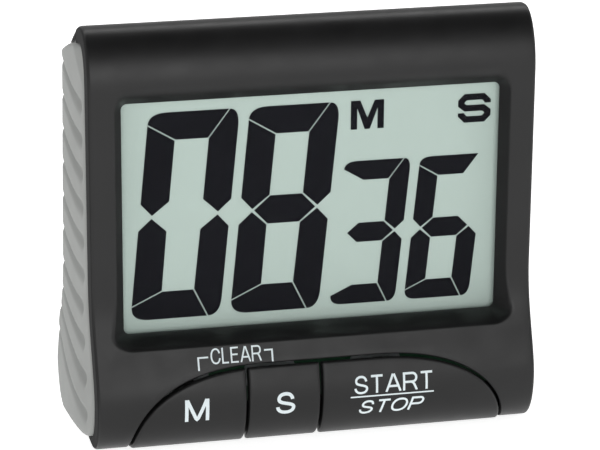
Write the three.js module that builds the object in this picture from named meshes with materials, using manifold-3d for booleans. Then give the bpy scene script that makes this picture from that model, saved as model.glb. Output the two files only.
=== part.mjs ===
// Digital kitchen timer with a large liquid-crystal display, three push buttons set in the
// bulging lower front, soft side grips, a rear battery bay, two magnets and a fold-out stand.
//
// Units are millimetres. +X is the object's width, the front faces -Y and +Z is up.
// Depths are written as "forward" values: the distance in front of the display's visible plane.
// The origin is at the bottom centre of the whole object's box.

import * as THREE from "three";
import { mergeVertices } from "three/addons/utils/BufferGeometryUtils.js";
import Module from "manifold-3d";

const wasm = await Module();
wasm.setup();

// ---------------------------------------------------------------- driving dimensions
const DISPLAY_PLANE_Y = -7.5; // y of the plane that forward values are counted from
const HALF_WIDTH = 36.65; // of the two shells
const GRIP_HALF_WIDTH = 39.1; // over the soft grips
const WALL = 1.9;
const SIDE_WALL = 3.4; // thicker, because the grips are let into it
const EDGE = 0.8; // rounding of the shells' side edges
const CLEARANCE = 0.3; // between pieces that move or are cut to each other
const PARTING_FORWARD = -10; // plane where the front and rear shells meet

// The side outline of the closed body, as forward and height values.
const RAIL = 2.2; // front face beside the display
const BULGE = 7.2; // front face at the buttons
const BULGE_Z = 9.1;
const REAR = -19; // flat of the back
const REAR_BULGE = -22.5; // back of the battery bay
const CROWN = { forward: -4.2, z: 70.2 };

const WINDOW = { width: 62.3, height: 39.1, bottom: 19.4, radius: 1.4 };
const POCKET_FLARE = 1.4; // how far the pocket's sides lean out over the rail's height

const BUTTON_PROUD = 0.3; // the caps stand this far out of the bulge
const BUTTON_CAP = 1.7;
const OPENING_BACK = -0.4; // the opening cuts the shell's base as far back as this
const CAP_BACK = 0.9; // the caps' lower edge, a press travel and a gap in front of that
const CAP_LOW = 0.35; // above the surface that the timer stands on
const BUTTON_SPLITS = [-12, 0.3]; // x of the gaps between the three buttons
const OPENING = { centre: 0.3, halfWidth: 31.6, top: 14.8, low: -1 };

const BATTERY = { radius: 5.1, length: 43.3, x: 2.5, forward: -15.3, z: 12.4 };
const NUB = { radius: 1.9, length: 1.2 };
const BAY = { halfWidth: 27.6, low: 4.9, high: 20.4, front: -8.6, wall: 1.4 };
const DOOR = { halfWidth: 25.6, low: 5.6, high: 19.6 };

const DOME = { base: -5.3, top: -2.9, z: 8.6 }; // rubber domes under the buttons
const BOARD = { front: -5.5, rear: -7.0, halfWidth: 32.4, low: 3.6, high: 65.4 };

const STAND = { halfWidth: 16, low: 30, high: 57, thickness: 1.9 };
const STAND_PIN = { radius: 1.1, length: 2, deep: 1.6, z: 54.8 };
const SOUND_HOLES = [-4, 0, 4]; // x of the three holes over the buzzer
const MAGNET = { radius: 6, thickness: 2, x: 26, z: 43 };
const BUZZER = { radius: 11, ceramicRadius: 7.5, z: 43.5, forward: -14.0 };

const SCREWS = [
  { x: -30, z: 63.4 },
  { x: 30, z: 63.4 },
  { x: -30.1, z: 9.4 },
  { x: 30.1, z: 9.4 },
];
const BOARD_SCREWS = [
  { x: -14, z: 63.4 },
  { x: 14, z: 63.4 },
];

// ---------------------------------------------------------------- materials
const plastic = (color, roughness) =>
  new THREE.MeshStandardMaterial({ color, roughness, metalness: 0 });
const metal = (color, roughness) =>
  new THREE.MeshStandardMaterial({ color, roughness, metalness: 1 });

const blackShell = plastic(0x1d1d1f, 0.42);
const blackButton = plastic(0x1a1a1c, 0.38);
const greyGrip = plastic(0x8f9290, 0.8);
const clearLens = new THREE.MeshStandardMaterial({
  color: 0xdfe6e2,
  roughness: 0.05,
  metalness: 0,
  transparent: true,
  opacity: 0.25,
});
const displayGlass = plastic(0xb0c0b8, 0.2);
const polariser = plastic(0xa9b8b0, 0.3);
const whiteHolder = plastic(0xd8d8d4, 0.6);
const elastomer = plastic(0x2b2b2b, 0.9);
const silicone = plastic(0x9c9c98, 0.75);
const circuitBoard = plastic(0x1f5b34, 0.5);
const carbon = plastic(0x161616, 0.7);
const epoxy = plastic(0x0c0c0d, 0.3);
const ceramic = plastic(0xc9b48a, 0.5);
const resistorBody = plastic(0x15171a, 0.5);
const batterySleeve = plastic(0x2f3a44, 0.35);
const springSteel = metal(0xc4c6c8, 0.3);
const brass = metal(0xc9a24a, 0.35);
const screwSteel = metal(0x9a9b9e, 0.35);
const magnetMetal = metal(0x8b8d90, 0.3);
const redWire = plastic(0xa11d1d, 0.5);
const blackWire = plastic(0x121212, 0.5);

// ---------------------------------------------------------------- geometry helpers
const AXIS_X = new THREE.Vector3(1, 0, 0);
const AXIS_Y = new THREE.Vector3(0, 1, 0);
const AXIS_Z = new THREE.Vector3(0, 0, 1);

const depth = (forward) => DISPLAY_PLANE_Y - forward;

function toSolid(geometry) {
  const bare = geometry.clone();
  bare.deleteAttribute("normal");
  bare.deleteAttribute("uv");
  const merged = mergeVertices(bare, 1e-4);
  return new wasm.Manifold(
    new wasm.Mesh({
      numProp: 3,
      vertProperties: merged.attributes.position.array,
      triVerts: new Uint32Array(merged.index.array),
    }),
  );
}

function toGeometry(solid) {
  const mesh = solid.getMesh();
  const stride = mesh.numProp;
  const position = new Float32Array(mesh.numVert * 3);
  for (let i = 0; i < mesh.numVert; i++)
    position.set(mesh.vertProperties.subarray(i * stride, i * stride + 3), i * 3);
  const geometry = new THREE.BufferGeometry();
  geometry.setAttribute("position", new THREE.BufferAttribute(position, 3));
  geometry.setIndex(new THREE.BufferAttribute(new Uint32Array(mesh.triVerts), 1));
  geometry.computeVertexNormals();
  return geometry;
}

// A block between two x, two forward and two z values.
function block(x0, x1, forward0, forward1, z0, z1) {
  const deep = Math.abs(forward1 - forward0);
  return new THREE.BoxGeometry(x1 - x0, deep, z1 - z0).translate(
    (x0 + x1) / 2,
    depth((forward0 + forward1) / 2),
    (z0 + z1) / 2,
  );
}

// A round rod along Y between two forward values.
function rodY(radius, x, z, forward0, forward1, sides = 20) {
  const long = Math.abs(forward1 - forward0);
  const middle = depth((forward0 + forward1) / 2);
  return new THREE.CylinderGeometry(radius, radius, long, sides).translate(x, middle, z);
}

// A round rod along X.
function rodX(radius, x0, x1, forward, z, sides = 20) {
  return new THREE.CylinderGeometry(radius, radius, x1 - x0, sides)
    .rotateZ(Math.PI / 2)
    .translate((x0 + x1) / 2, depth(forward), z);
}

// A side outline (shape x is y, shape y is z) swept along X, with rounded ends of radius edge.
function sweepX(shape, x0, x1, edge = 0, steps = 3) {
  const geometry = new THREE.ExtrudeGeometry(shape, {
    depth: x1 - x0 - 2 * edge,
    bevelEnabled: edge > 0,
    bevelThickness: edge,
    bevelSize: edge,
    bevelOffset: -edge,
    bevelSegments: steps,
    curveSegments: 8,
  });
  geometry.translate(0, 0, x0 + edge);
  return geometry.applyMatrix4(new THREE.Matrix4().makeBasis(AXIS_Y, AXIS_Z, AXIS_X));
}

// A front outline (shape x is x, shape y is z) swept in depth between two forward values.
function sweepY(shape, forward0, forward1, segments = 10) {
  const back = Math.min(forward0, forward1);
  const geometry = new THREE.ExtrudeGeometry(shape, {
    depth: Math.abs(forward1 - forward0),
    bevelEnabled: false,
    curveSegments: segments,
  });
  const basis = new THREE.Matrix4().makeBasis(AXIS_X, AXIS_Z, AXIS_Y.clone().negate());
  return geometry.applyMatrix4(basis).translate(0, depth(back), 0);
}

// A closed skin between two outlines with the same number of points.
function loft(ringA, ringB) {
  const count = ringA.length;
  const flat = ringA.map((p) => new THREE.Vector2(p.x, p.z));
  const caps = THREE.ShapeUtils.triangulateShape(flat, []);
  const index = [];
  for (const [a, b, c] of caps) {
    index.push(a, b, c);
    index.push(count + c, count + b, count + a);
  }
  for (let i = 0; i < count; i++) {
    const next = (i + 1) % count;
    index.push(i, count + i, next);
    index.push(next, count + i, count + next);
  }
  const position = [...ringA, ...ringB].flatMap((p) => [p.x, p.y, p.z]);
  const geometry = new THREE.BufferGeometry();
  geometry.setAttribute("position", new THREE.Float32BufferAttribute(position, 3));
  geometry.setIndex(index);
  return geometry;
}

function roundedRectangle(width, height, radius, centreX, centreZ) {
  const x = centreX - width / 2;
  const z = centreZ - height / 2;
  const shape = new THREE.Shape();
  shape.moveTo(x + radius, z);
  shape.lineTo(x + width - radius, z);
  shape.absarc(x + width - radius, z + radius, radius, -Math.PI / 2, 0);
  shape.lineTo(x + width, z + height - radius);
  shape.absarc(x + width - radius, z + height - radius, radius, 0, Math.PI / 2);
  shape.lineTo(x + radius, z + height);
  shape.absarc(x + radius, z + height - radius, radius, Math.PI / 2, Math.PI);
  shape.lineTo(x, z + radius);
  shape.absarc(x + radius, z + radius, radius, Math.PI, 1.5 * Math.PI);
  return shape;
}

function distinct(points) {
  const last = points.length - 1;
  return points.filter((p, i) => p.distanceTo(points[i ? i - 1 : last]) > 1e-3);
}

// A smooth outline moved inwards (or outwards, when the inset is negative) along its normals.
function insetShape(shape, inset) {
  const points = distinct(shape.getPoints(8));
  const turn = THREE.ShapeUtils.isClockWise(points) ? -1 : 1;
  const moved = points.map((p, i) => {
    const before = points[(i + points.length - 1) % points.length];
    const after = points[(i + 1) % points.length];
    const tangent = after.clone().sub(before).normalize();
    return new THREE.Vector2(p.x - turn * inset * tangent.y, p.y + turn * inset * tangent.x);
  });
  return new THREE.Shape(moved);
}

// Outlines drawn with forward and height values become side outlines in y and z.
class SideShape extends THREE.Shape {
  start(forward, z) {
    return this.moveTo(depth(forward), z);
  }
  line(forward, z) {
    return this.lineTo(depth(forward), z);
  }
  curve(forwardA, zA, forwardB, zB, forward, z) {
    return this.bezierCurveTo(depth(forwardA), zA, depth(forwardB), zB, depth(forward), z);
  }
}

// ---------------------------------------------------------------- outlines
// The closed body seen from the side: flat base, button bulge, straight front beside the
// display, rounded shoulder, crown falling to the back, flat back and battery bulge.
function bodyOutline() {
  const s = new SideShape();
  s.start(-16.5, 0);
  s.line(-0.5, 0);
  s.curve(4.5, 0, BULGE, 4, BULGE, BULGE_Z);
  s.curve(BULGE, 14, RAIL, 19.5, RAIL, 28);
  s.line(RAIL, 60.5);
  s.curve(RAIL, 66, -0.8, CROWN.z, CROWN.forward, CROWN.z);
  s.curve(-8, CROWN.z, -12.5, 67.2, -15, 65.6);
  s.curve(-17.2, 64.2, REAR, 63, REAR, 60.5);
  s.line(REAR, 26);
  s.curve(REAR, 20, REAR_BULGE, 17, REAR_BULGE, 12);
  s.curve(REAR_BULGE, 5, -20.5, 0, -16.5, 0);
  return s;
}

// A grip seen from the side: it keeps behind the front edge and below the crown, and runs
// out past the back, where the body's own outline trims it.
function gripOutline() {
  const s = new SideShape();
  s.start(-26, 0.9);
  s.line(-4, 0.9);
  s.curve(1, 0.9, 3.1, 4, 3.1, BULGE_Z);
  s.curve(3.1, 14, -1.9, 19.5, -1.9, 28);
  s.line(-1.9, 60.5);
  s.curve(-1.9, 64.5, -3.2, 67, -6, 67);
  s.curve(-8.5, 66.8, -12, 65.8, -14.5, 64.8);
  s.line(-26, 60);
  return s;
}

// The arched opening for the buttons, seen from the front, shrunk by an inset.
function openingOutline(inset) {
  const { centre, halfWidth, top, low } = OPENING;
  const half = halfWidth - inset;
  const high = top - inset;
  const s = new THREE.Shape();
  s.moveTo(centre - half, low);
  s.lineTo(centre + half, low);
  s.bezierCurveTo(centre + half, 7, centre + 0.86 * half, high, centre + 0.3 * half, high);
  s.lineTo(centre - 0.3 * half, high);
  s.bezierCurveTo(centre - 0.86 * half, high, centre - half, 7, centre - half, low);
  return s;
}

const windowCentreZ = WINDOW.bottom + WINDOW.height / 2;

const bodyBlock = (inset, halfWidth, edge) =>
  toSolid(sweepX(insetShape(bodyOutline(), inset), -halfWidth, halfWidth, edge));

const outerBody = bodyBlock(0, HALF_WIDTH, EDGE);
const innerBody = bodyBlock(WALL, HALF_WIDTH - SIDE_WALL, 0);

// ---------------------------------------------------------------- shells
function gripRecess(side) {
  const inner = HALF_WIDTH - 1.45;
  const outer = GRIP_HALF_WIDTH + 1;
  const shape = insetShape(gripOutline(), -CLEARANCE);
  const recess = side > 0 ? sweepX(shape, inner, outer) : sweepX(shape, -outer, -inner);
  return toSolid(recess);
}

// The display pocket: its mouth is wider than the window, so its walls lean out.
function pocketCut() {
  const ring = (forward, grow) =>
    roundedRectangle(
      WINDOW.width + 2 * grow,
      WINDOW.height + 2 * grow,
      WINDOW.radius + grow,
      0,
      windowCentreZ,
    )
      .getPoints(6)
      .map((p) => new THREE.Vector3(p.x, depth(forward), p.y));
  const slope = POCKET_FLARE / RAIL;
  const deep = -1;
  const mouth = 9;
  const trimmed = (points) =>
    points.filter((p, i) => i === 0 || p.distanceTo(points[i - 1]) > 1e-3).slice(0, -1);
  return toSolid(loft(trimmed(ring(mouth, mouth * slope)), trimmed(ring(deep, deep * slope))));
}

function screwBoss(x, z, radius, forward0, forward1, bore) {
  const boss = toSolid(rodY(radius, x, z, forward0, forward1));
  return boss.subtract(toSolid(rodY(bore, x, z, forward0 - 1, forward1 - 1.5, 14)));
}

function frontShell() {
  const kept = toSolid(block(-50, 50, PARTING_FORWARD + 0.1, 20, -5, 80));
  const rim = toSolid(block(-34.4, 34.4, 0.4, 12, WINDOW.bottom - 2.6, WINDOW.bottom + 41.6));
  let shell = outerBody.subtract(innerBody).add(outerBody.intersect(rim)).intersect(kept);
  for (const { x, z } of SCREWS) {
    const front = z > 30 ? 1.2 : 6;
    const boss = screwBoss(x, z, 2.4, PARTING_FORWARD + 0.1, front, 1);
    shell = shell.add(boss.intersect(outerBody));
  }
  for (const { x, z } of BOARD_SCREWS) shell = shell.add(screwBoss(x, z, 2.2, -5.45, 1.2, 0.95));
  const opening = toSolid(sweepY(openingOutline(0), OPENING_BACK, 15, 12));
  return shell
    .subtract(pocketCut())
    .subtract(opening)
    .subtract(gripRecess(1))
    .subtract(gripRecess(-1));
}

function batteryBay() {
  const { halfWidth, low, high, front, wall } = BAY;
  const outer = toSolid(block(-halfWidth, halfWidth, front, -24, low - wall, high + wall));
  const inner = toSolid(block(wall - halfWidth, halfWidth - wall, front - wall, -26, low, high));
  return outer.subtract(inner).intersect(outerBody);
}

// The recess that the stand folds into, with a groove for its knuckle and holes for its pins.
function standPocket() {
  const { halfWidth, low, high, thickness } = STAND;
  const side = halfWidth + CLEARANCE;
  const floor = REAR + thickness + CLEARANCE;
  const pocket = toSolid(block(-side, side, floor, REAR - 4, low - CLEARANCE, high + CLEARANCE));
  const axle = REAR + STAND_PIN.deep;
  const groove = toSolid(rodX(STAND_PIN.radius + 0.3, -side, side, axle, STAND_PIN.z, 20));
  const reach = side + STAND_PIN.length;
  const holes = toSolid(rodX(STAND_PIN.radius + 0.1, -reach, reach, axle, STAND_PIN.z, 20));
  return pocket.add(groove).add(holes);
}

function soundHoles() {
  const [first, ...others] = SOUND_HOLES.map((x) => toSolid(rodY(1, x, BUZZER.z, 0, -30, 12)));
  return others.reduce((all, hole) => all.add(hole), first);
}

function rearShell() {
  const kept = toSolid(block(-50, 50, PARTING_FORWARD - 0.1, -40, -5, 80));
  const { halfWidth, low, high } = BAY;
  const bayHollow = toSolid(
    block(BAY.wall - halfWidth, halfWidth - BAY.wall, -10, -21.4, low, high),
  );
  const doorHole = toSolid(
    block(
      -DOOR.halfWidth - CLEARANCE,
      DOOR.halfWidth + CLEARANCE,
      -10,
      -30,
      DOOR.low - CLEARANCE,
      DOOR.high + CLEARANCE,
    ),
  );
  const pad = toSolid(block(-20.5, 20.5, -15, REAR, STAND.low - 2.2, STAND.high + 2.2));
  const buzzerRing = toSolid(rodY(BUZZER.radius, 0, BUZZER.z, -16, BUZZER.forward - 0.05, 32)).subtract(
    toSolid(rodY(BUZZER.radius - 1.4, 0, BUZZER.z, -15, 0, 32)),
  );
  let shell = outerBody.subtract(innerBody).intersect(kept).add(buzzerRing);
  shell = shell.add(pad.intersect(outerBody)).add(batteryBay().intersect(kept.add(frontHalf())));
  for (const side of [-1, 1]) {
    const cup = toSolid(rodY(MAGNET.radius + 1.4, side * MAGNET.x, MAGNET.z, REAR, REAR + 4));
    const seat = toSolid(
      rodY(MAGNET.radius + 0.1, side * MAGNET.x, MAGNET.z, REAR - 2, REAR + MAGNET.thickness, 32),
    );
    shell = shell.add(cup.intersect(outerBody)).subtract(seat);
  }
  for (const { x, z } of SCREWS) {
    const back = z > 30 ? REAR + 1 : REAR - 2;
    const post = toSolid(rodY(2.7, x, z, PARTING_FORWARD - 0.1, back));
    const head = toSolid(rodY(2.3, x, z, PARTING_FORWARD - 3, -40, 20));
    const shank = toSolid(rodY(1.25, x, z, 0, -40, 14));
    shell = shell.add(post.intersect(outerBody)).subtract(head).subtract(shank);
  }
  return shell
    .subtract(bayHollow)
    .subtract(doorHole)
    .subtract(contactSlots())
    .subtract(standPocket())
    .subtract(soundHoles())
    .subtract(gripRecess(1))
    .subtract(gripRecess(-1));
}

// The bay reaches forward of the parting plane, behind the circuit board.
const frontHalf = () => toSolid(block(-30, 30, PARTING_FORWARD - 0.2, 0, 0, 30));

function grip(side) {
  const inner = HALF_WIDTH - 1.15;
  const shape = gripOutline();
  const pad =
    side > 0
      ? sweepX(shape, inner, GRIP_HALF_WIDTH, 1.2)
      : sweepX(shape, -GRIP_HALF_WIDTH, -inner, 1.2);
  return toSolid(pad).intersect(bodyBlock(0, GRIP_HALF_WIDTH, 2.2));
}

// A panel of the shell's own skin, with two ribs inside that grip the bay's walls.
function batteryDoor() {
  const { halfWidth, low, high } = DOOR;
  const panel = toSolid(block(-halfWidth, halfWidth, -18, -30, low, high));
  const rib = (z) => toSolid(block(-20, 20, -18.8, -21, z, z + 0.8)).intersect(outerBody);
  return outerBody.subtract(innerBody).intersect(panel).add(rib(low + 0.6)).add(rib(high - 1.4));
}

// ---------------------------------------------------------------- buttons
const buttonSkin = bodyBlock(-BUTTON_PROUD, HALF_WIDTH, 0).subtract(
  bodyBlock(BUTTON_CAP, HALF_WIDTH + 1, 0),
);

function button(x0, x1, stemX) {
  const slice = toSolid(block(x0, x1, CAP_BACK, 20, CAP_LOW, 30));
  const cap = buttonSkin
    .intersect(toSolid(sweepY(openingOutline(CLEARANCE), CAP_BACK, 15, 12)))
    .intersect(slice);
  const stem = toSolid(rodY(2.2, stemX, DOME.z, DOME.top + 0.3, BULGE - 1, 16));
  const rib = toSolid(block(stemX - 0.6, stemX + 0.6, 1.2, BULGE - 1.2, DOME.z - 4.4, DOME.z + 3.6));
  return cap.add(stem).add(rib.intersect(bodyBlock(0.8, HALF_WIDTH, 0)));
}

const halfGap = CLEARANCE / 2;
const BUTTONS = [
  { name: "m", x0: -40, x1: BUTTON_SPLITS[0] - halfGap, stemX: -20.6 },
  { name: "s", x0: BUTTON_SPLITS[0] + halfGap, x1: BUTTON_SPLITS[1] - halfGap, stemX: -5.8 },
  { name: "start_stop", x0: BUTTON_SPLITS[1] + halfGap, x1: 40, stemX: 12.3 },
];

// A hollow rubber dome that snaps back when its button is let go.
function keyDome() {
  const high = DOME.top - DOME.base;
  const profile = [
    [0, high],
    [2.4, high],
    [3.4, 0.9],
    [4.4, 0.7],
    [4.4, 0],
    [3.1, 0],
    [1.9, high - 1],
    [0, high - 1],
  ];
  return new THREE.LatheGeometry(
    profile.reverse().map(([radius, up]) => new THREE.Vector2(radius, up)),
    20,
  ).rotateX(Math.PI);
}

// ---------------------------------------------------------------- display stack
function sheetOf(width, low, high, forward0, forward1, radius = 0.4) {
  const shape = roundedRectangle(width, high - low, radius, 0, (low + high) / 2);
  return sweepY(shape, forward0, forward1, 3);
}

function displayHolder() {
  const outer = toSolid(block(-33.1, 33.1, -1.15, BOARD.front + 0.05, 13.2, 60.2));
  const inner = toSolid(block(-32.7, 32.7, 0, -7, 13.9, 59.6));
  const ledge = toSolid(block(-33, 33, -2.9, BOARD.front + 0.05, 17.7, 60));
  const light = toSolid(block(-31, 31, 0, -7, 19.4, 57.6));
  return outer.subtract(inner).add(ledge.subtract(light));
}

// ---------------------------------------------------------------- circuit board
function mainBoard() {
  const { front, rear, halfWidth, low, high } = BOARD;
  let board = toSolid(block(-halfWidth, halfWidth, front, rear, low, high));
  for (const { x, z } of SCREWS) board = board.subtract(toSolid(rodY(3.4, x, z, 0, -12, 16)));
  for (const { x, z } of BOARD_SCREWS) board = board.subtract(toSolid(rodY(1.1, x, z, 0, -12, 12)));
  return board;
}


// A pan-head screw along Y: the head faces the rear, and its recess is a cross.
function screw(headRadius, headHigh, shankRadius, length) {
  const profile = [
    [0, headHigh],
    [headRadius * 0.7, headHigh],
    [headRadius, headHigh * 0.5],
    [headRadius, 0],
    [shankRadius, 0],
    [shankRadius, 1 - length],
    [0, -length],
  ];
  const body = new THREE.LatheGeometry(
    profile.reverse().map(([radius, up]) => new THREE.Vector2(radius, up)),
    16,
  );
  let solid = toSolid(body);
  const slot = [headRadius * 1.1, headHigh, headRadius * 0.28];
  const lift = headHigh * 0.9;
  const cross = new THREE.BoxGeometry(...slot).translate(0, lift, 0);
  solid = solid.subtract(toSolid(cross));
  solid = solid.subtract(toSolid(cross.clone().rotateY(Math.PI / 2)));
  return toGeometry(solid);
}

// ---------------------------------------------------------------- battery and contacts
function battery() {
  const { radius, length } = BATTERY;
  const half = length / 2;
  const profile = [
    [0, -half],
    [radius - 1.2, -half],
    [radius, -half + 0.5],
    [radius, half - 0.8],
    [radius - 0.8, half],
    [NUB.radius, half],
    [NUB.radius, half + NUB.length],
    [0, half + NUB.length],
  ];
  return new THREE.LatheGeometry(
    profile.map(([r, y]) => new THREE.Vector2(r, y)),
    28,
  ).rotateZ(-Math.PI / 2);
}

class ConeSpring extends THREE.Curve {
  constructor(turns, baseRadius, tipRadius, length) {
    super();
    Object.assign(this, { turns, baseRadius, tipRadius, length });
  }
  getPoint(t, target = new THREE.Vector3()) {
    const angle = t * this.turns * 2 * Math.PI;
    const radius = this.baseRadius + (this.tipRadius - this.baseRadius) * t;
    return target.set(t * this.length, radius * Math.cos(angle), radius * Math.sin(angle));
  }
}

function circleShape(radius, sides) {
  const points = [];
  for (let i = 0; i < sides; i++) {
    const angle = (i * 2 * Math.PI) / sides;
    points.push(new THREE.Vector2(radius * Math.cos(angle), radius * Math.sin(angle)));
  }
  return new THREE.Shape(points);
}

function rodAlong(curve, radius, steps, sides = 8) {
  return new THREE.ExtrudeGeometry(circleShape(radius, sides), {
    steps,
    extrudePath: curve,
    bevelEnabled: false,
  });
}

// An insulated lead through points written as x, forward and z.
function lead(points) {
  const path = points.map(([x, forward, z]) => new THREE.Vector3(x, depth(forward), z));
  return rodAlong(new THREE.CatmullRomCurve3(path, false, "centripetal"), 0.5, 26);
}

function batterySpring() {
  return rodAlong(new ConeSpring(3.5, 4.2, 2, 5.2), 0.4, 70, 6);
}

// The slots in the bay's roof that the contacts' tails come out of.
function contactSlots() {
  const x = BAY.halfWidth - BAY.wall - 0.5;
  const slot = (side) =>
    toSolid(block(side * x - 0.6, side * x + 0.6, -10.4, -14, BAY.high - 0.5, BAY.high + 2));
  return slot(1).add(slot(-1));
}

// A square contact plate with a solder tail that reaches up out of the bay.
function contactPlate() {
  const plate = toSolid(new THREE.BoxGeometry(0.4, 8, 8.6));
  const tail = toSolid(new THREE.BoxGeometry(0.4, 2, 9).translate(0, -3, 8.1));
  return toGeometry(plate.add(tail));
}

// ---------------------------------------------------------------- parts on the board
const CHIPS = [
  { x: 10, z: 38, wide: 3 },
  { x: 15.5, z: 38, wide: 3 },
  { x: 10, z: 33.5, wide: 2.2 },
  { x: 15.5, z: 33.5, wide: 2.2 },
];

// The controller under its drop of black resin.
function chipBlob() {
  const profile = [];
  for (let i = 0; i <= 6; i++) {
    const angle = (i * Math.PI) / 12;
    profile.push(new THREE.Vector2(6 * Math.sin(angle), 1.6 * Math.cos(angle)));
  }
  profile.push(new THREE.Vector2(0, 0));
  return new THREE.LatheGeometry(profile.reverse(), 24);
}

const LEADS = [
  {
    name: "battery_lead_red",
    material: redWire,
    points: [
      [22, BOARD.rear - 0.6, 29],
      [24, BOARD.rear - 3, 28],
      [25.8, -11, 27.4],
      [25.7, -12.3, 25.4],
    ],
  },
  {
    name: "battery_lead_black",
    material: blackWire,
    points: [
      [-22, BOARD.rear - 0.6, 29],
      [-24, BOARD.rear - 3, 28],
      [-25.8, -11, 27.4],
      [-25.7, -12.3, 25.4],
    ],
  },
  {
    name: "buzzer_lead_red",
    material: redWire,
    points: [
      [6, BOARD.rear - 0.6, 54],
      [6, -9.5, 54.5],
      [4.5, -12, 51],
      [4, -12.8, 47],
    ],
  },
  {
    name: "buzzer_lead_black",
    material: blackWire,
    points: [
      [-6, BOARD.rear - 0.6, 54],
      [-6.5, -9.5, 54.8],
      [-8.5, -12, 52],
      [-9, -13, 46.5],
    ],
  },
];

// ---------------------------------------------------------------- stand
function stand() {
  const { halfWidth, low, thickness } = STAND;
  const { radius, length, deep, z } = STAND_PIN;
  const shape = roundedRectangle(2 * halfWidth, z - low, 1.6, 0, (low + z) / 2);
  const plate = toSolid(sweepY(shape, REAR + thickness - 0.1, REAR + 0.1));
  const notch = toSolid(block(-5, 5, REAR + 1, REAR - 1, low - 1, low + 2.2));
  const reach = halfWidth + length;
  const knuckle = toSolid(rodX(radius, -reach, reach, REAR + deep, z, 20));
  return plate.add(knuckle).subtract(notch).subtract(soundHoles());
}

// ---------------------------------------------------------------- assembly
const timer = new THREE.Group();
timer.name = "kitchen_timer";

function place(name, geometry, material, x = 0, y = 0, z = 0) {
  const mesh = new THREE.Mesh(geometry, material);
  mesh.name = name;
  mesh.position.set(x, y, z);
  timer.add(mesh);
  return mesh;
}

const placeSolid = (name, solid, material) => place(name, toGeometry(solid), material);

// Shells, grips, door and stand.
placeSolid("front_shell", frontShell(), blackShell);
placeSolid("rear_shell", rearShell(), blackShell);
placeSolid("left_grip", grip(-1), greyGrip);
placeSolid("right_grip", grip(1), greyGrip);
placeSolid("battery_door", batteryDoor(), blackShell);
placeSolid("stand", stand(), blackShell);

// Each button presses a rubber dome onto a carbon pad on the board.
for (const { name, x0, x1, stemX } of BUTTONS) {
  placeSolid("button_" + name, button(x0, x1, stemX), blackButton);
  place("dome_" + name, keyDome(), silicone, stemX, depth(DOME.base), DOME.z);
  const pad = rodY(1.7, stemX, DOME.z, BOARD.front, BOARD.front + 0.08, 16);
  place("contact_pad_" + name, pad, carbon);
}

// Display stack, from the lens back to the board.
place("display_lens", sheetOf(65.4, 17.2, 59.3, -0.05, -1.0, 1.2), clearLens);
place("front_polariser", sheetOf(63.4, 18.1, 58.6, -1.1, -1.28), polariser);
place("lcd_front_glass", sheetOf(65, 14.2, 59.2, -1.32, -1.87), displayGlass);
place("lcd_rear_glass", sheetOf(65, 17.9, 59.2, -1.91, -2.46), displayGlass);
place("rear_reflector", sheetOf(63.4, 18.3, 58.6, -2.5, -2.7), polariser);
placeSolid("lcd_holder", displayHolder(), whiteHolder);
place("zebra_connector", block(-30, 30, -1.92, BOARD.front + 0.05, 14.6, 16.8), elastomer);

// Circuit board and what is soldered to its back.
placeSolid("main_board", mainBoard(), circuitBoard);
place("controller_chip", chipBlob(), epoxy, -4, depth(BOARD.rear), 40);
place("quartz_crystal", rodX(1.05, 12, 18, BOARD.rear - 1.15, 45, 16), springSteel);
for (const [i, { x, z, wide }] of CHIPS.entries()) {
  const body = block(x - wide / 2, x + wide / 2, BOARD.rear, BOARD.rear - 0.9, z - 0.7, z + 0.7);
  place((i < 2 ? "resistor_" : "capacitor_") + ((i % 2) + 1), body, i < 2 ? resistorBody : ceramic);
}
for (const [i, { x, z }] of BOARD_SCREWS.entries()) {
  const fixing = place("board_screw_" + (i + 1), screw(1.8, 1.1, 0.85, 5), screwSteel);
  fixing.position.set(x, depth(BOARD.rear), z);
}

// Battery with its contacts.
const batteryY = depth(BATTERY.forward);
const bayEnd = BAY.halfWidth - BAY.wall;
place("battery", battery(), batterySleeve, BATTERY.x, batteryY, BATTERY.z);
place("positive_contact", contactPlate(), brass, bayEnd - 0.5, batteryY, BATTERY.z);
place("negative_contact", contactPlate(), springSteel, 0.5 - bayEnd, batteryY, BATTERY.z);
place("battery_spring", batterySpring(), springSteel, 1.15 - bayEnd, batteryY, BATTERY.z);

// Magnets, buzzer and case screws.
for (const side of [-1, 1]) {
  const { radius, thickness, x, z } = MAGNET;
  const disc = rodY(radius, side * x, z, REAR + 0.05, REAR + thickness - 0.1, 32);
  place(side < 0 ? "left_magnet" : "right_magnet", disc, magnetMetal);
}
const buzzerTop = BUZZER.forward + 0.25;
const buzzerPlate = rodY(BUZZER.radius, 0, BUZZER.z, BUZZER.forward, buzzerTop, 32);
const buzzerDisc = rodY(BUZZER.ceramicRadius, 0, BUZZER.z, buzzerTop, buzzerTop + 0.25, 28);
place("buzzer_plate", buzzerPlate, brass);
place("buzzer_ceramic", buzzerDisc, ceramic);
for (const [i, { x, z }] of SCREWS.entries()) {
  const fixing = place("case_screw_" + (i + 1), screw(2.1, 1.4, 0.9, 7), screwSteel);
  fixing.position.set(x, depth(PARTING_FORWARD - 3), z);
}

// Leads inside the case.
for (const { name, material, points } of LEADS) place(name, lead(points), material);

export default timer;
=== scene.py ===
"""Looks of the kitchen timer: skins, buttons, grips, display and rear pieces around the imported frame.

Lengths in this script are millimetres until a mesh is made. x is the width, "forward" is the
distance in front of the display's plane, and z is the height above the table.
"""

import math

import bmesh
import bpy
import numpy as np
from mathutils import Matrix, Vector
from mathutils.geometry import delaunay_2d_cdt


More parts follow.
